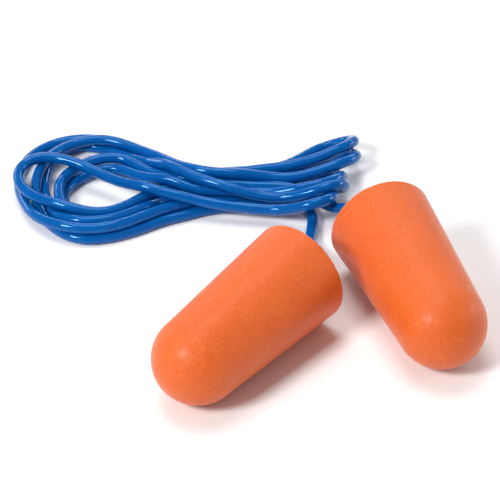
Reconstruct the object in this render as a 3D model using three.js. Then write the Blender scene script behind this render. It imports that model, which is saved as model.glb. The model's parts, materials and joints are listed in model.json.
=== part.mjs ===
// A pair of corded foam ear plugs. Two bullet-shaped foam plugs lie on their sides on z = 0,
// joined by one thin cord whose length is wound into a loose figure-8 hank behind them.
// Millimetres, +Z up. The origin is on the surface, under the middle of the two plugs.

import * as THREE from 'three';

// Foam plug: a slim cone with a flat base and a domed nose.
const BASE_RADIUS = 6.5;
const NOSE_RADIUS = 5.4;
const PLUG_LENGTH = 24.6;
const NOSE_LENGTH = 5.3;
const NOSE_POWER = 1.9;
const EDGE_RADIUS = 0.4;
const TAPER = Math.atan2(BASE_RADIUS - NOSE_RADIUS, PLUG_LENGTH - NOSE_LENGTH);
const BASE_HEIGHT = BASE_RADIUS * Math.cos(TAPER);

// Blind hole in the base, with the cord's end fixed in it by a sleeve of set glue.
const CORD_RADIUS = 0.7;
const CLEARANCE = 0.12;
const GLUE_WALL = 0.33;
const GLUE_LENGTH = 8;
const GLUE_RECESS = 0.7;
const GLUE_RADIUS = CORD_RADIUS + CLEARANCE + GLUE_WALL;
const HOLE_RADIUS = GLUE_RADIUS + CLEARANCE;
const CORD_END_LENGTH = 9;
const HOLE_DEPTH = CORD_END_LENGTH + 0.4;

// Where each plug's base centre stands in plan, and the way its nose points.
const LEFT_PLUG = { x: -2, y: 4.26, heading: 230.3 };
const RIGHT_PLUG = { x: 7.66, y: 13.67, heading: -70 };

// Leads: from each base centre, straight out, then down to the hank. The left one lies on the
// surface before it goes under the hank.
const LEFT_LEAD = [
  [-0.25, 6.55, 6.6],
  [0.0, 8.0, 6.1],
  [-0.1, 9.7, 5.1],
  [-0.3, 11.4, 3.85],
  [-0.5, 13.1, 2.65],
  [-0.65, 14.8, 1.6],
  [-0.72, 16.5, 1.0],
  [-0.68, 18.2, 0.75],
  [-0.58, 19.38, 0.72],
];
const RIGHT_LEAD = [
  [6.63, 16.49, 6.66],
  [6.1, 17.7, 6.0],
  [5.45, 18.7, 4.95],
  [4.8, 19.55, 3.95],
  [4.05, 20.4, 3.1],
  [3.48, 21.1, 2.68],
];
const LEAD_START = -0.3;
const LEAD_STRAIGHT = 1.5;
const LEAD_STEP = 3;

// Hank: the outer shape of the wound cord, two lobes and a waist. The outline runs along the
// front from the left lobe, round the right lobe, and back along the rear.
const HANK_HEIGHT = 5.2;
const HANK_OUTLINE = [
  [-29.0, 16.7], [-24.0, 17.4], [-19.5, 19.8], [-14.4, 21.8], [-9.0, 21.3], [-4.5, 20.5],
  [-0.7, 19.7], [1.8, 20.3], [3.4, 22.2], [4.5, 25.2], [5.5, 28.6], [6.2, 32.0],
  [6.1, 35.2], [4.6, 37.4], [1.8, 37.6], [-1.2, 35.9], [-4.5, 33.4], [-9.0, 32.3],
  [-14.4, 31.5], [-19.0, 33.5], [-24.0, 37.2], [-29.5, 39.1], [-34.0, 38.6], [-37.3, 35.7],
  [-38.6, 31.5], [-38.3, 27.0], [-36.6, 21.8], [-33.5, 18.2],
];

const ROUND_SEGMENTS = 48;
const SMALL_SEGMENTS = 16;
const CORD_SIDES = 8;

function foamMaterial() {
  return new THREE.MeshStandardMaterial({ color: 0xf0743c, roughness: 0.9, metalness: 0 });
}

function cordMaterial() {
  return new THREE.MeshStandardMaterial({ color: 0x0558a8, roughness: 0.25, metalness: 0 });
}

function glueMaterial() {
  return new THREE.MeshStandardMaterial({ color: 0xe9dfc6, roughness: 0.35, metalness: 0 });
}

function named(name, geometry, material) {
  const mesh = new THREE.Mesh(geometry, material);
  mesh.name = name;
  return mesh;
}

// Points along a circle's arc, as (radius, axial) pairs for a lathe.
function arc(centre, radius, from, to, steps) {
  const points = [];
  for (let i = 0; i <= steps; i++) {
    const angle = from + ((to - from) * i) / steps;
    const r = centre.x + radius * Math.cos(angle);
    points.push(new THREE.Vector2(r, centre.y + radius * Math.sin(angle)));
  }
  return points;
}

// Dome of the nose: a superellipse from the end of the cone to the tip on the axis.
function nose(steps) {
  const points = [];
  for (let i = 0; i < steps; i++) {
    const angle = (Math.PI / 2) * (i / steps);
    const r = NOSE_RADIUS * Math.cos(angle) ** (2 / NOSE_POWER);
    const y = PLUG_LENGTH - NOSE_LENGTH + NOSE_LENGTH * Math.sin(angle) ** (2 / NOSE_POWER);
    points.push(new THREE.Vector2(r, y));
  }
  points.push(new THREE.Vector2(0, PLUG_LENGTH));
  return points;
}

// The plug's outline, from the closed end of its hole out over the base, side and nose.
function plugGeometry() {
  const edge = new THREE.Vector2(
    BASE_RADIUS - (EDGE_RADIUS * (1 + Math.sin(TAPER))) / Math.cos(TAPER),
    EDGE_RADIUS,
  );
  const profile = [
    new THREE.Vector2(0, HOLE_DEPTH),
    new THREE.Vector2(HOLE_RADIUS, HOLE_DEPTH),
    new THREE.Vector2(HOLE_RADIUS, 0),
    ...arc(edge, EDGE_RADIUS, -Math.PI / 2, TAPER, 4),
    ...nose(12),
  ];
  return new THREE.LatheGeometry(profile, ROUND_SEGMENTS);
}

function glueGeometry() {
  const inner = CORD_RADIUS + CLEARANCE;
  const profile = [
    new THREE.Vector2(inner, GLUE_RECESS),
    new THREE.Vector2(GLUE_RADIUS, GLUE_RECESS),
    new THREE.Vector2(GLUE_RADIUS, GLUE_LENGTH),
    new THREE.Vector2(inner, GLUE_LENGTH),
    new THREE.Vector2(inner, GLUE_RECESS),
  ];
  return new THREE.LatheGeometry(profile, SMALL_SEGMENTS);
}

function cordEndGeometry() {
  const length = CORD_END_LENGTH - GLUE_RECESS;
  const geometry = new THREE.CylinderGeometry(CORD_RADIUS, CORD_RADIUS, length, SMALL_SEGMENTS);
  geometry.translate(0, GLUE_RECESS + length / 2, 0);
  return geometry;
}

// One plug with what is fixed inside it, lying on the side of its cone.
function plugAssembly(side, place) {
  const upright = new THREE.Group();
  upright.rotation.set(0, TAPER, -Math.PI / 2);
  upright.add(named(`${side}_plug_body`, plugGeometry(), foamMaterial()));
  upright.add(named(`${side}_glue_sleeve`, glueGeometry(), glueMaterial()));
  upright.add(named(`${side}_cord_end`, cordEndGeometry(), cordMaterial()));
  const assembly = new THREE.Group();
  assembly.position.set(place.x, place.y, BASE_HEIGHT);
  assembly.rotation.z = THREE.MathUtils.degToRad(place.heading);
  assembly.add(upright);
  return assembly;
}

// Unit vector straight out of a plug's base, away from its nose.
function outward(place) {
  const heading = THREE.MathUtils.degToRad(place.heading);
  const level = -Math.cos(TAPER);
  return new THREE.Vector3(level * Math.cos(heading), level * Math.sin(heading), Math.sin(TAPER));
}

// The stretch of cord between a plug and the hank.
function leadGeometry(place, route) {
  const centre = new THREE.Vector3(place.x, place.y, BASE_HEIGHT);
  const out = outward(place);
  const points = [
    centre.clone().addScaledVector(out, LEAD_START),
    centre.clone().addScaledVector(out, LEAD_STRAIGHT),
    ...route.map((point) => new THREE.Vector3(...point)),
  ];
  const curve = new THREE.CatmullRomCurve3(points, false, 'centripetal');
  const section = new THREE.Shape();
  for (let i = 0; i < CORD_SIDES; i++) {
    const angle = (2 * Math.PI * i) / CORD_SIDES;
    const x = CORD_RADIUS * Math.cos(angle);
    const y = CORD_RADIUS * Math.sin(angle);
    if (i === 0) section.moveTo(x, y);
    else section.lineTo(x, y);
  }
  section.closePath();
  const steps = Math.ceil(curve.getLength() / LEAD_STEP) * 2;
  return new THREE.ExtrudeGeometry(section, { steps, bevelEnabled: false, extrudePath: curve });
}

// The hank's outer shape: a smooth closed outline with upright walls.
function hankGeometry() {
  const [first, ...rest] = HANK_OUTLINE.map((point) => new THREE.Vector2(...point));
  const outline = new THREE.Shape();
  outline.moveTo(first.x, first.y);
  outline.splineThru([...rest, first]);
  return new THREE.ExtrudeGeometry(outline, {
    depth: HANK_HEIGHT,
    bevelEnabled: false,
    curveSegments: 3,
  });
}

const earPlugs = new THREE.Group();
earPlugs.add(plugAssembly('left', LEFT_PLUG));
earPlugs.add(plugAssembly('right', RIGHT_PLUG));
earPlugs.add(named('left_cord_lead', leadGeometry(LEFT_PLUG, LEFT_LEAD), cordMaterial()));
earPlugs.add(named('right_cord_lead', leadGeometry(RIGHT_PLUG, RIGHT_LEAD), cordMaterial()));
earPlugs.add(named('cord_hank', hankGeometry(), cordMaterial()));

export default earPlugs;
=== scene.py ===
"""A pair of corded foam ear plugs, with the cord wound in a loose figure-8 hank behind them.

Everything is in metres, in the CAD frame: +Z up, with the plugs and the cord lying on z = 0.
"""

import json
import math

import bmesh
import bpy
import numpy as np
from mathutils import Matrix, Vector, kdtree, noise


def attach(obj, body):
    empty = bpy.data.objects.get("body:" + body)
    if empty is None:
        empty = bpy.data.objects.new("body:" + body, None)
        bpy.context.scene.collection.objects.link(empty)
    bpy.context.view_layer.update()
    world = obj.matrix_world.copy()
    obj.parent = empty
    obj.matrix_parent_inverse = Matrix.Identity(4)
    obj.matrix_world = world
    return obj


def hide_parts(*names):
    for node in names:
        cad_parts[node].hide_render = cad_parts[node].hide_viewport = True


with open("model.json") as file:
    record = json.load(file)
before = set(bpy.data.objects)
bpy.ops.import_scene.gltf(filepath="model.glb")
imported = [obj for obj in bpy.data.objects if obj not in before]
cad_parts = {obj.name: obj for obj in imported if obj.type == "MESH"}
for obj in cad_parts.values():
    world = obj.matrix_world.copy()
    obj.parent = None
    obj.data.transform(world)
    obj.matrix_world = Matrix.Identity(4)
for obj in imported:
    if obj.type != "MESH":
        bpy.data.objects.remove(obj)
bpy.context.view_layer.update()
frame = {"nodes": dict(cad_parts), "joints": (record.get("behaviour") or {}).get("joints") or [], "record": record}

# ---------------------------------------------------------------- driving dimensions

# A plug: a slim cone with a rounded base edge and a domed nose. The nose's outline is a
# superellipse, and NOSE_POWER is its power.
BASE_RADIUS = 0.0065
NOSE_RADIUS = 0.0054
PLUG_LENGTH = 0.0246
NOSE_LENGTH = 0.0053
NOSE_POWER = 1.9
EDGE_RADIUS = 0.0004
TAPER = math.atan2(BASE_RADIUS - NOSE_RADIUS, PLUG_LENGTH - NOSE_LENGTH)

# The cord's length is what its settled line measures.
CORD_RADIUS = 0.0007

# The blind hole in a base. Its edge curves in from MOUTH_RADIUS on the face to a lip of
# LIP_RADIUS, close to the cord. From CAVITY_START inwards it is as wide as in the CAD, with the
# glue and the cord's end in it.
MOUTH_RADIUS = 0.00115
LIP_RADIUS = 0.0009
LIP_DEPTH = 0.0004
CAVITY_RADIUS = 0.00127
CAVITY_START = 0.0006
HOLE_DEPTH = 0.0094

# Each plug's base centre is where it swings, and its mount's axis points out of the base.
JOINTS = {joint["child"]: joint for joint in frame["joints"]}
LEFT_BASE = Vector(JOINTS["left_plug"]["pos_m"])
RIGHT_BASE = Vector(JOINTS["right_plug"]["pos_m"])
MOUNTS = {mount["name"]: mount for mount in frame["record"]["mounts"]}
LEFT_OUT = Vector(MOUNTS["left_base_face"]["axis"]).normalized()
RIGHT_OUT = Vector(MOUNTS["right_base_face"]["axis"]).normalized()

# ---------------------------------------------------------------- the cord's route

# Leads, from each plug's base down to the hank, much as in the CAD: straight out, from just
# inside the base, then through these points. The left one ends on the surface.
LEAD_START = -0.0004
LEAD_STRAIGHT = 0.0015
LEFT_LEAD = [
    (-0.00025, 0.00655, 0.0066),
    (0.0, 0.0080, 0.0061),
    (-0.0001, 0.0097, 0.0051),
    (-0.0003, 0.0114, 0.00385),
    (-0.0005, 0.0131, 0.00265),
    (-0.00065, 0.0148, 0.0016),
    (-0.00072, 0.0165, 0.0010),
    (-0.00068, 0.0182, 0.00075),
    (-0.00058, 0.01938, 0.00072),
]
RIGHT_LEAD = [
    (0.00663, 0.01649, 0.00666),
    (0.0061, 0.0177, 0.0060),
    (0.00545, 0.0187, 0.00495),
    (0.0048, 0.01955, 0.00395),
    (0.00405, 0.0204, 0.0031),
    (0.00348, 0.0211, 0.00268),
]

# From the leads' ends through the hank: to the start of the first turn, and from the last one.
LEFT_RUN = [
    (-0.0003, 0.0211, 0.0007),
    (-0.0004, 0.0229, 0.0007),
    (-0.0015, 0.0244, 0.0007),
    (-0.0033, 0.0250, 0.0007),
    (-0.0061, 0.0247, 0.0007),
    (-0.0098, 0.0240, 0.0007),
]
RIGHT_RUN = [
    (0.0022, 0.0226, 0.00195),
    (0.0011, 0.0238, 0.0017),
    (-0.0012, 0.0254, 0.0015),
    (-0.0046, 0.0263, 0.0019),
    (-0.0090, 0.0269, 0.0021),
]

# The hank's turns cross at the waist. They pass under it side by side, in slots counted from the
# front, and all at one slope in plan (dy/dx).
WAIST_X = -0.0143
SLOT_Y = 0.0235
SLOT_STEP = 0.00145
UNDER_SLOPE = 0.2

# A left turn goes out under the waist, round the left lobe and back over the waist: by the
# foremost point of its front run, its far left, the rearmost point of its back run, its shoulder
# beside the waist, and where it is over the waist, the last two as y, z and slope.
SHOULDER_X = -0.0216
LEFT_TURNS = {
    "outer": dict(slot=0, front=(-0.0286, 0.0174, 0.0007), tip=(-0.0352, 0.0276, 0.0013),
                  back=(-0.0289, 0.0365, 0.0019), shoulder=(0.0331, 0.0020, -0.85),
                  over=(0.0279, 0.0032, -0.28)),
    "front": dict(slot=4, front=(-0.0264, 0.0209, 0.0022), tip=(-0.0378, 0.0279, 0.0030),
                  back=(-0.0346, 0.0310, 0.0030), shoulder=(0.0246, 0.0029, -0.42),
                  over=(0.0230, 0.0023, -0.22)),
    "rear": dict(slot=1, front=(-0.0283, 0.0177, 0.0020), tip=(-0.0379, 0.0304, 0.0007),
                 back=(-0.0296, 0.0385, 0.0007), shoulder=(0.0344, 0.0007, -0.85),
                 over=(0.0292, 0.0021, -0.25)),
    "inner": dict(slot=5, front=(-0.0266, 0.0206, 0.0007), tip=(-0.0320, 0.0260, 0.0007),
                  back=(-0.0254, 0.0314, 0.0013), shoulder=(0.0288, 0.0019, -0.45),
                  over=(0.0257, 0.0019, 0.0)),
    "second": dict(slot=3, front=(-0.0272, 0.0192, 0.0020), tip=(-0.0349, 0.0286, 0.0007),
                   back=(-0.0298, 0.0370, 0.0007), shoulder=(0.0318, 0.0018, -0.75),
                   over=(0.0262, 0.0034, -0.50)),
    "third": dict(slot=2, front=(-0.0270, 0.0191, 0.0007), tip=(-0.0325, 0.0257, 0.0021),
                  back=(-0.0247, 0.0327, 0.0020), shoulder=(0.0304, 0.0020, -0.70),
                  over=(0.0275, 0.0020, -0.35)),
}

# A right turn goes on from over the waist, round the right lobe and back under the waist. Its
# round end leans back, so that the loops fan out. Each has its front run's y and z beside the
# lobe's middle, the outermost point of its round end with the end's lean in degrees and its
# slope in plan, and its back run's y on the surface.
MIDDLE_X = -0.0046
LOOP_WIDTH = 0.0063
RIGHT_TURNS = {
    "top": dict(slot=5, front=(0.0304, 0.0021), tip=(0.0050, 0.0361, 0.0023),
                lean=35, rise=0.68, back=0.0319),
    "upper": dict(slot=4, front=(0.0274, 0.0023), tip=(0.0054, 0.0333, 0.0021),
                  lean=28, rise=0.42, back=0.0306),
    "middle": dict(slot=3, front=(0.0253, 0.0019), tip=(0.0037, 0.0283, 0.0020),
                   lean=26, rise=0.10, back=0.0294),
    "lower": dict(slot=2, front=(0.0239, 0.0023), tip=(0.0036, 0.0265, 0.0025),
                  lean=39, rise=0.45, back=0.0280),
    "bottom": dict(slot=1, front=(0.0217, 0.0020), tip=(0.0021, 0.0241, 0.0026),
                   lean=32, rise=0.45, back=0.0265),
}

# The order in which the one cord runs through them, a left turn and then a right one.
WINDING = [
    ("outer", "upper"),
    ("front", "bottom"),
    ("rear", "top"),
    ("inner", "middle"),
    ("second", "lower"),
    ("third", None),
]

# How many steps a stretch of a turn is drawn in: the runs, an ellipse's quarter, a round end.
LONG_RUN = 4
RUN = 3
SHORT_RUN = 2
QUARTER_STEPS = 4
END_STEPS = 6


def under_waist(slot):
    """Where a turn passes under the waist, on the surface."""
    return np.array([WAIST_X, SLOT_Y + SLOT_STEP * slot, CORD_RADIUS])


def run(start, end, start_slope, end_slope, steps):
    """Points of a cubic between two points, leaving out both, with its dy/dx given at each end."""
    start, end = np.array(start, float), np.array(end, float)
    across = end[0] - start[0]
    points = []
    for step in range(1, steps):
        t = step / steps
        ease = t * t * (3 - 2 * t)
        y = (
            start[1] + (end[1] - start[1]) * ease
            + across * start_slope * t * (1 - t) ** 2
            - across * end_slope * t * t * (1 - t)
        )
        z = start[2] + (end[2] - start[2]) * ease
        points.append((start[0] + across * t, y, z))
    return points


def left_turn(turn):
    """From under the waist round the left lobe, two quarters of ellipses, to over the waist."""
    front, tip, back = (np.array(turn[key]) for key in ("front", "tip", "back"))
    points = run(under_waist(turn["slot"]), front, UNDER_SLOPE, 0, LONG_RUN)
    for start, end, rising in ((front, tip, False), (tip, back, True)):
        for step in range(QUARTER_STEPS):
            angle = math.pi / 2 * step / QUARTER_STEPS
            sine, versine = math.sin(angle), 1 - math.cos(angle)
            along, up = (versine, sine) if rising else (sine, versine)
            points.append((
                start[0] + (end[0] - start[0]) * along,
                start[1] + (end[1] - start[1]) * up,
                start[2] + (end[2] - start[2]) * step / QUARTER_STEPS,
            ))
    shoulder = (SHOULDER_X, *turn["shoulder"][:2])
    over = (WAIST_X, *turn["over"][:2])
    steep, slope = turn["shoulder"][2], turn["over"][2]
    points += [tuple(back)] + run(back, shoulder, 0, steep, RUN) + [shoulder]
    return points + run(shoulder, over, steep, slope, RUN) + [over]


def right_turn(turn, over, slope):
    """From over the waist along the front, round the loop's end and back along the surface."""
    lean, rise, radius = math.radians(turn["lean"]), turn["rise"], LOOP_WIDTH / 2
    heading = math.atan(rise)
    along = np.array([math.cos(heading), math.sin(heading), 0])
    level = np.array([-math.sin(heading), math.cos(heading), 0])
    across = math.cos(lean) * level - math.sin(lean) * np.array([0, 0, 1])
    middle = np.array(turn["tip"]) - radius * along
    end = []
    for step in range(END_STEPS + 1):
        angle = math.pi * (step / END_STEPS - 0.5)
        end.append(middle + radius * (math.cos(angle) * along + math.sin(angle) * across))
    front = np.array([MIDDLE_X, *turn["front"]])
    back = np.array([MIDDLE_X, turn["back"], CORD_RADIUS])
    under = under_waist(turn["slot"])
    points = run(over, front, slope, 0, RUN) + [front]
    points += run(front, end[0], 0, rise, SHORT_RUN) + end
    points += run(end[-1], back, rise, UNDER_SLOPE, SHORT_RUN) + [back]
    return points + run(back, under, UNDER_SLOPE, UNDER_SLOPE, RUN) + [under]


def drawn_route():
    """The points that the cord is drawn through, from the left plug's base to the right plug's."""
    points = [LEFT_BASE + along * LEFT_OUT for along in (LEAD_START, LEAD_STRAIGHT)]
    points += LEFT_LEAD + LEFT_RUN + [under_waist(0)]
    for left, right in WINDING:
        points += left_turn(LEFT_TURNS[left])
        if right:
            y, z, slope = LEFT_TURNS[left]["over"]
            points += right_turn(RIGHT_TURNS[right], (WAIST_X, y, z), slope)
    points += RIGHT_RUN[::-1] + RIGHT_LEAD[::-1]
    points += [RIGHT_BASE + along * RIGHT_OUT for along in (LEAD_STRAIGHT, LEAD_START)]
    return np.array([tuple(point) for point in points])


# The settled line's nodes, and how finely a curve is worked out before it is spaced evenly.
NODE_STEP = 0.0005
CURVE_FINENESS = 5
FEWEST_CURVE_POINTS = 4


def spaced(points, step):
    """The points of a line at even spacing."""
    along = np.r_[0, np.cumsum(np.linalg.norm(np.diff(points, axis=0), axis=1))]
    count = int(round(along[-1] / step))
    where = np.linspace(0, along[-1], count + 1)
    return np.stack([np.interp(where, along, points[:, axis]) for axis in range(3)], 1)


def smooth_line(points, step):
    """A centripetal Catmull-Rom curve through the points, at even spacing."""
    padded = np.vstack([2 * points[0] - points[1], points, 2 * points[-1] - points[-2]])
    pieces = []
    for i in range(1, len(padded) - 2):
        p0, p1, p2, p3 = padded[i - 1:i + 3]
        t1 = np.linalg.norm(p1 - p0) ** 0.5
        t2 = t1 + np.linalg.norm(p2 - p1) ** 0.5
        t3 = t2 + np.linalg.norm(p3 - p2) ** 0.5
        count = max(FEWEST_CURVE_POINTS, int(np.linalg.norm(p2 - p1) / (step / CURVE_FINENESS)))
        t = np.linspace(t1, t2, count, endpoint=False)[:, None]
        a1 = (t1 - t) / t1 * p0 + t / t1 * p1
        a2 = (t2 - t) / (t2 - t1) * p1 + (t - t1) / (t2 - t1) * p2
        a3 = (t3 - t) / (t3 - t2) * p2 + (t - t2) / (t3 - t2) * p3
        b1 = (t2 - t) / t2 * a1 + t / t2 * a2
        b2 = (t3 - t) / (t3 - t1) * a2 + (t - t1) / (t3 - t1) * a3
        pieces.append((t2 - t) / (t2 - t1) * b1 + (t - t1) / (t2 - t1) * b2)
    return spaced(np.vstack([*pieces, points[-1:]]), step)


# How the cord settles. The nodes at its two ends are held. Nodes nearer than TOUCH push each
# other apart, unless they are neighbours along the cord, and one with many contacts moves less
# for each. The pairs to look at are found anew every few rounds.
HELD_NODES = 8
TOUCH = 2.03 * CORD_RADIUS
NEIGHBOURS = 5
LOOK_EVERY = 5
LOOK_REACH = 1.6 * TOUCH
CROWDING = 0.35
BEND_REACH = (1, 2)
STRETCH_PASSES = 2
SMALLEST_GAP = 1e-9

# The first phase holds the line close to the drawn one, and the second lets it ease.
PHASES = [
    dict(rounds=250, keep=0.03, bend=0.25),
    dict(rounds=300, keep=0.006, bend=0.3),
]


def straightening(line, reach):
    """How far each node moves to even out the bend: a fourth difference of nodes reach apart."""
    move = np.zeros_like(line)
    before, after = line[:-4 * reach], line[4 * reach:]
    middle = slice(2 * reach, len(line) - 2 * reach)
    near = line[reach:-3 * reach] + line[3 * reach:-reach]
    move[middle] = (4 * near - before - after - 6 * line[middle]) / 8
    return move


def settle(line, anchor, rounds, keep, bend):
    """Lets the cord lie: no two stretches in one place, none under the surface, and no kinks.

    The anchor is the drawn line, keep is how firmly nodes return to it, and bend is how firmly
    the cord straightens.
    """
    line = line.copy()
    step = np.linalg.norm(np.diff(anchor, axis=0), axis=1).mean()
    free = np.ones((len(line), 1))
    free[:HELD_NODES] = free[-HELD_NODES:] = 0
    for done in range(rounds):
        if done % LOOK_EVERY == 0:
            gaps = line[:, None, :] - line[None, :, :]
            near = (gaps ** 2).sum(2) < LOOK_REACH ** 2
            first, second = np.where(np.triu(near, NEIGHBOURS))
        apart = line[first] - line[second]
        gap = np.linalg.norm(apart, axis=1)
        hit = gap < TOUCH
        i, j = first[hit], second[hit]
        overlap = (TOUCH - gap[hit])[:, None]
        push = apart[hit] / np.maximum(gap[hit], SMALLEST_GAP)[:, None] * (overlap / 4)
        moves, counts = np.zeros_like(line), np.zeros(len(line))
        np.add.at(moves, i, push)
        np.add.at(moves, j, -push)
        np.add.at(counts, i, 1)
        np.add.at(counts, j, 1)
        line += free * moves / np.maximum(1, counts * CROWDING)[:, None]
        for reach in BEND_REACH:
            line += free * bend * straightening(line, reach)
        line += free * keep * (anchor - line)
        for _ in range(STRETCH_PASSES):
            span = line[1:] - line[:-1]
            length = np.linalg.norm(span, axis=1)[:, None]
            pull = (length - step) / np.maximum(length, SMALLEST_GAP) * span / 4
            line[:-1] += free[:-1] * pull
            line[1:] -= free[1:] * pull
        line[:, 2] = np.where(free[:, 0] > 0, np.maximum(line[:, 2], CORD_RADIUS), line[:, 2])
    return line


def cord_line():
    """The cord's centre line, from inside the left plug's hole to inside the right one's."""
    drawn = smooth_line(drawn_route(), NODE_STEP)
    line = drawn
    for phase in PHASES:
        line = settle(line, drawn, **phase)
    return smooth_line(line, NODE_STEP / 2)


# ---------------------------------------------------------------- materials


def srgb(red, green, blue):
    """A linear colour from 0 to 255 display values."""
    def linear(value):
        value /= 255
        return value / 12.92 if value <= 0.04045 else ((value + 0.055) / 1.055) ** 2.4
    return (linear(red), linear(green), linear(blue), 1)


class Nodes:
    """A short way to build a material's node tree."""

    def __init__(self, name):
        self.material = bpy.data.materials.new(name)
        self.material.use_nodes = True
        self.tree = self.material.node_tree
        self.shader = self.tree.nodes["Principled BSDF"]

    def add(self, kind, inputs=None, **settings):
        """A new node, with values or links for its inputs and settings for itself."""
        node = self.tree.nodes.new(kind)
        for key, value in settings.items():
            setattr(node, key, value)
        for key, value in (inputs or {}).items():
            self.put(node, key, value)
        return node

    def put(self, node, key, value):
        if isinstance(value, bpy.types.NodeSocket):
            self.tree.links.new(value, node.inputs[key])
        else:
            node.inputs[key].default_value = value

    def set(self, **values):
        """Sets the shader's inputs by name, with _ for each space."""
        for key, value in values.items():
            self.put(self.shader, key.replace("_", " "), value)

    def ramp(self, factor, stops):
        node = self.add("ShaderNodeValToRGB", {"Fac": factor})
        elements = node.color_ramp.elements
        while len(elements) < len(stops):
            elements.new(0.5)
        for element, (position, colour) in zip(elements, stops):
            element.position, element.color = position, colour
        return node.outputs["Color"]

    def noise(self, place, scale, detail, roughness=0.5):
        return self.add(
            "ShaderNodeTexNoise",
            {"Vector": place, "Scale": scale, "Detail": detail, "Roughness": roughness},
        ).outputs["Fac"]

    def place(self):
        return self.add("ShaderNodeTexCoord").outputs["Object"]


BUMP_HEIGHT = 0.0001


def foam_material():
    """Skinned polyurethane foam: nearly matte, finely grained, a little blotchy."""
    made = Nodes("foam")
    place = made.place()
    blotch = made.noise(place, scale=330, detail=3)
    base = made.ramp(blotch, [(0.3, srgb(216, 93, 26)), (0.7, srgb(222, 100, 30))])
    grain = made.noise(place, scale=4200, detail=4, roughness=0.75)
    speck = made.ramp(
        grain, [(0.34, srgb(190, 70, 21)), (0.5, srgb(222, 96, 29)), (0.68, srgb(246, 126, 56))]
    )
    mixed = made.add("ShaderNodeMix", {"Factor": 0.42, "A": base, "B": speck}, data_type="RGBA")
    waves = made.noise(place, scale=1500, detail=2)
    height = made.add("ShaderNodeMath", {0: grain, 1: waves}, operation="ADD")
    bump = made.add(
        "ShaderNodeBump", {"Height": height.outputs[0], "Strength": 0.75, "Distance": BUMP_HEIGHT}
    )
    made.set(
        Base_Color=mixed.outputs["Result"],
        Normal=bump.outputs[0],
        Roughness=0.43,
        Specular_IOR_Level=0.3,
        Coat_Weight=0.15,
        Coat_Roughness=0.28,
        Sheen_Weight=0.2,
        Sheen_Roughness=0.22,
        Subsurface_Weight=0.06,
        Subsurface_Scale=0.0005,
    )
    return made.material


def cord_material():
    """Soft glossy vinyl: deep blue, a little cloudy under a clear skin."""
    made = Nodes("cord")
    place = made.place()
    haze = made.noise(place, scale=1100, detail=3)
    waves = made.noise(place, scale=800, detail=2)
    bump = made.add("ShaderNodeBump", {"Height": waves, "Strength": 0.08, "Distance": BUMP_HEIGHT})
    made.set(
        Base_Color=made.ramp(haze, [(0.3, srgb(0, 79, 152)), (0.7, srgb(0, 90, 166))]),
        Normal=bump.outputs[0],
        Roughness=0.09,
        Specular_IOR_Level=0.5,
        Specular_Tint=(0.3, 0.62, 1.0, 1),
        Subsurface_Weight=0.05,
        Subsurface_Radius=(0.1, 0.3, 1.0),
        Subsurface_Scale=0.0004,
    )
    return made.material


def glue_material():
    """Set glue: pale, cloudy and a little waxy."""
    made = Nodes("glue")
    haze = made.noise(made.place(), scale=1500, detail=2)
    made.set(
        Base_Color=made.ramp(haze, [(0.3, srgb(222, 208, 176)), (0.7, srgb(240, 230, 204))]),
        Roughness=0.3,
        Subsurface_Weight=0.3,
        Subsurface_Scale=0.0004,
    )
    return made.material


def floor_material():
    made = Nodes("floor")
    made.set(Base_Color=(0.93, 0.93, 0.93, 1), Roughness=0.9, Specular_IOR_Level=0.1)
    return made.material


# ---------------------------------------------------------------- pieces


def link(name, data, material):
    """A new object in the scene, with its one material."""
    piece = bpy.data.objects.new(name, data)
    data.materials.append(material)
    bpy.context.scene.collection.objects.link(piece)
    return piece


def make_cord(material):
    """The one cord, as an open spline, in place of the CAD's two leads and its hank."""
    line = cord_line()
    curve = bpy.data.curves.new("cord", "CURVE")
    curve.dimensions = "3D"
    curve.bevel_depth = CORD_RADIUS
    curve.bevel_resolution = 6
    curve.use_fill_caps = True
    spline = curve.splines.new("POLY")
    spline.points.add(len(line) - 1)
    spline.points.foreach_set("co", np.c_[line, np.ones(len(line))].ravel())
    spline.use_smooth = True
    piece = link("cord", curve, material)
    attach(piece, "cord")
    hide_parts("left_cord_lead", "cord_hank", "right_cord_lead")


# How many steps each stretch of a plug's outline has, and how many sides the plug has.
HOLE_END_STEPS = 3
HOLE_SIDE_STEPS = 12
LIP_STEPS = 6
FACE_STEPS = 36
EDGE_STEPS = 8
SIDE_STEPS = 120
NOSE_STEPS = 60
PLUG_SIDES = 256

# The skin's slight waves, and its small shrunken pits. Both only sink the skin, so the plug stays
# inside the CAD's. The hole is left as it is, with a margin round it.
SWELL = 0.00003
SWELL_SCALE = 260
PITS = 1100
PIT_RADIUS = (0.00016, 0.00042)
PIT_DEPTH = (0.000015, 0.000045)
HOLE_MARGIN = 1.05

# The seeds of each plug's waves and pits.
LEFT_SEED = 3
RIGHT_SEED = 8


def straight(start, end, steps):
    """Rows of an outline from the start, left out, to the end."""
    rows = []
    for step in range(1, steps + 1):
        rows.append(tuple(a + (b - a) * step / steps for a, b in zip(start, end)))
    return rows


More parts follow.
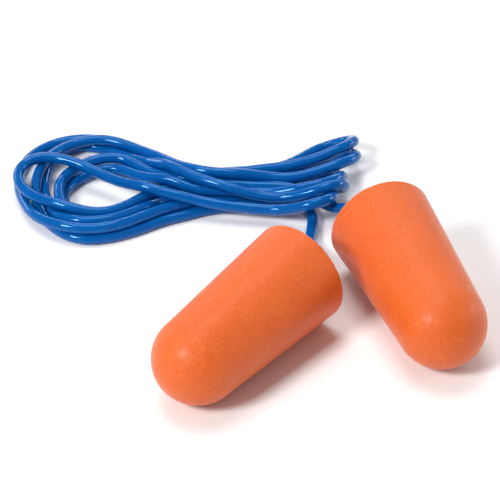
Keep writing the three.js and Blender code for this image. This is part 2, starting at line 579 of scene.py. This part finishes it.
def plug_profile():
    """(radius, distance from the base) rows: from the hole's closed end out over base and nose."""
    rows = [(0, HOLE_DEPTH)]
    rows += straight(rows[-1], (CAVITY_RADIUS, HOLE_DEPTH), HOLE_END_STEPS)
    rows += straight(rows[-1], (CAVITY_RADIUS, CAVITY_START), HOLE_SIDE_STEPS)
    for step in range(LIP_STEPS + 1):
        angle = math.pi / 2 * step / LIP_STEPS
        rows.append((
            LIP_RADIUS + (MOUTH_RADIUS - LIP_RADIUS) * (1 - math.cos(angle)),
            LIP_DEPTH * (1 - math.sin(angle)),
        ))
    flat = BASE_RADIUS - EDGE_RADIUS * (1 + math.sin(TAPER)) / math.cos(TAPER)
    rows += straight((MOUTH_RADIUS, 0), (flat, 0), FACE_STEPS)
    for step in range(1, EDGE_STEPS + 1):
        angle = -math.pi / 2 + (math.pi / 2 + TAPER) * step / EDGE_STEPS
        rows.append((flat + EDGE_RADIUS * math.cos(angle), EDGE_RADIUS * (1 + math.sin(angle))))
    nose_start = PLUG_LENGTH - NOSE_LENGTH
    rows += straight(rows[-1], (NOSE_RADIUS, nose_start), SIDE_STEPS)
    for step in range(1, NOSE_STEPS):
        angle = math.pi / 2 * step / NOSE_STEPS
        rows.append((
            NOSE_RADIUS * math.cos(angle) ** (2 / NOSE_POWER),
            nose_start + NOSE_LENGTH * math.sin(angle) ** (2 / NOSE_POWER),
        ))
    return rows + [(0, PLUG_LENGTH)]


def lathe(profile, sides):
    """A mesh turned from (radius, distance) rows, with its axis along -Z and its ends closed."""
    mesh = bmesh.new()
    rings = []
    for radius, along in profile:
        ring = []
        for step in range(sides if radius else 1):
            angle = 2 * math.pi * step / sides
            x, y = radius * math.cos(angle), radius * math.sin(angle)
            ring.append(mesh.verts.new((x, y, -along)))
        rings.append(ring)
    for one, two in zip(rings, rings[1:]):
        for step in range(sides):
            follow = (step + 1) % sides
            corners = (
                one[step % len(one)], one[follow % len(one)],
                two[follow % len(two)], two[step % len(two)],
            )
            mesh.faces.new(list(dict.fromkeys(corners)))
    bmesh.ops.recalc_face_normals(mesh, faces=mesh.faces)
    return mesh


def weather(mesh, seed):
    """Gives the skin the slight waves and small shrunken pits of moulded foam."""
    mesh.normal_update()
    hole_radius, hole_depth = CAVITY_RADIUS * HOLE_MARGIN, HOLE_DEPTH * HOLE_MARGIN
    skin = [v for v in mesh.verts if v.co.xy.length > hole_radius or -v.co.z > hole_depth]
    tree = kdtree.KDTree(len(skin))
    for index, vertex in enumerate(skin):
        tree.insert(vertex.co, index)
    tree.balance()
    aside = Vector((seed, 0, 0))
    moves = [SWELL * noise.noise(v.co * SWELL_SCALE + aside) - SWELL for v in skin]
    random = np.random.default_rng(seed)
    for _ in range(PITS):
        centre = skin[random.integers(len(skin))].co
        # Every ring has as many vertices, so a pit is the likelier to be left out on a small one.
        if centre.xy.length < BASE_RADIUS * random.random():
            continue
        radius = random.uniform(*PIT_RADIUS)
        depth = random.uniform(*PIT_DEPTH)
        for _, index, distance in tree.find_range(centre, radius):
            moves[index] -= depth * (1 - (distance / radius) ** 2) ** 2
    for vertex, move in zip(skin, moves):
        vertex.co += vertex.normal * move


def make_plug(side, base, out, seed, material):
    """One foam plug, from its base's centre and the direction straight out of the base."""
    mesh = lathe(plug_profile(), PLUG_SIDES)
    weather(mesh, seed)
    turn = out.to_track_quat("Z", "Y").to_matrix().to_4x4()
    mesh.transform(Matrix.Translation(base) @ turn)
    data = bpy.data.meshes.new(f"{side}_foam")
    mesh.to_mesh(data)
    mesh.free()
    data.shade_smooth()
    piece = link(f"{side}_foam", data, material)
    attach(piece, f"{side}_plug")
    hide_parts(f"{side}_plug_body")


# ---------------------------------------------------------------- camera, light and floor

CAMERA_TARGET = Vector((-0.008158, 0.016138, 0))
CAMERA_DISTANCE = 0.3
CAMERA_ELEVATION = math.radians(38.92)
CAMERA_CLIP = 0.01
SENSOR_WIDTH = 36
LENS = 173.232

# Area lights, all aimed at the camera's target: place, width and height, and power in watts.
LIGHTS = {
    "key": ((-0.27, -0.22, 0.32), (0.12, 0.12), 1.7),
    "top": ((-0.06, 0.16, 0.55), (0.30, 0.30), 1.4),
    "back": ((0.05, 0.55, 0.26), (0.60, 0.04), 0.8),
    "left rim": ((-0.42, 0.40, 0.20), (0.25, 0.10), 0.4),
    "right rim": ((0.44, 0.14, 0.13), (0.25, 0.08), 0.6),
}
WORLD_STRENGTH = 0.3
FLOOR_HALF_SIZE = 3


def make_camera():
    data = bpy.data.cameras.new("camera")
    data.sensor_width = SENSOR_WIDTH
    data.lens = LENS
    data.clip_start = CAMERA_CLIP
    camera = bpy.data.objects.new("camera", data)
    back = Vector((0, -math.cos(CAMERA_ELEVATION), math.sin(CAMERA_ELEVATION)))
    camera.location = CAMERA_TARGET + CAMERA_DISTANCE * back
    camera.rotation_euler = (-back).to_track_quat("-Z", "Y").to_euler()
    bpy.context.scene.collection.objects.link(camera)
    bpy.context.scene.camera = camera


def area_light(name, place, size, power):
    data = bpy.data.lights.new(name, "AREA")
    data.shape = "RECTANGLE"
    data.size, data.size_y = size
    data.energy = power
    lamp = bpy.data.objects.new(name, data)
    lamp.location = place
    lamp.visible_camera = False
    lamp.rotation_euler = (CAMERA_TARGET - Vector(place)).to_track_quat("-Z", "Y").to_euler()
    bpy.context.scene.collection.objects.link(lamp)


def make_floor():
    mesh = bmesh.new()
    bmesh.ops.create_grid(mesh, x_segments=2, y_segments=2, size=FLOOR_HALF_SIZE)
    data = bpy.data.meshes.new("floor")
    mesh.to_mesh(data)
    mesh.free()
    link("floor", data, floor_material())


def make_light():
    """A plain white world and the area lights, shown without a film look."""
    world = bpy.data.worlds.new("studio")
    world.use_nodes = True
    background = world.node_tree.nodes["Background"]
    background.inputs["Color"].default_value = (1, 1, 1, 1)
    background.inputs["Strength"].default_value = WORLD_STRENGTH
    bpy.context.scene.world = world
    bpy.context.scene.view_settings.view_transform = "Standard"
    for name, (place, size, power) in LIGHTS.items():
        area_light(name, place, size, power)


make_camera()
cord = cord_material()
foam = foam_material()
glue = glue_material()
make_cord(cord)
make_plug("left", LEFT_BASE, LEFT_OUT, LEFT_SEED, foam)
make_plug("right", RIGHT_BASE, RIGHT_OUT, RIGHT_SEED, foam)
for side in ("left", "right"):
    frame["nodes"][f"{side}_glue_sleeve"].data.materials[0] = glue
    frame["nodes"][f"{side}_cord_end"].data.materials[0] = cord
make_floor()
make_light()

bpy.context.view_layer.update()
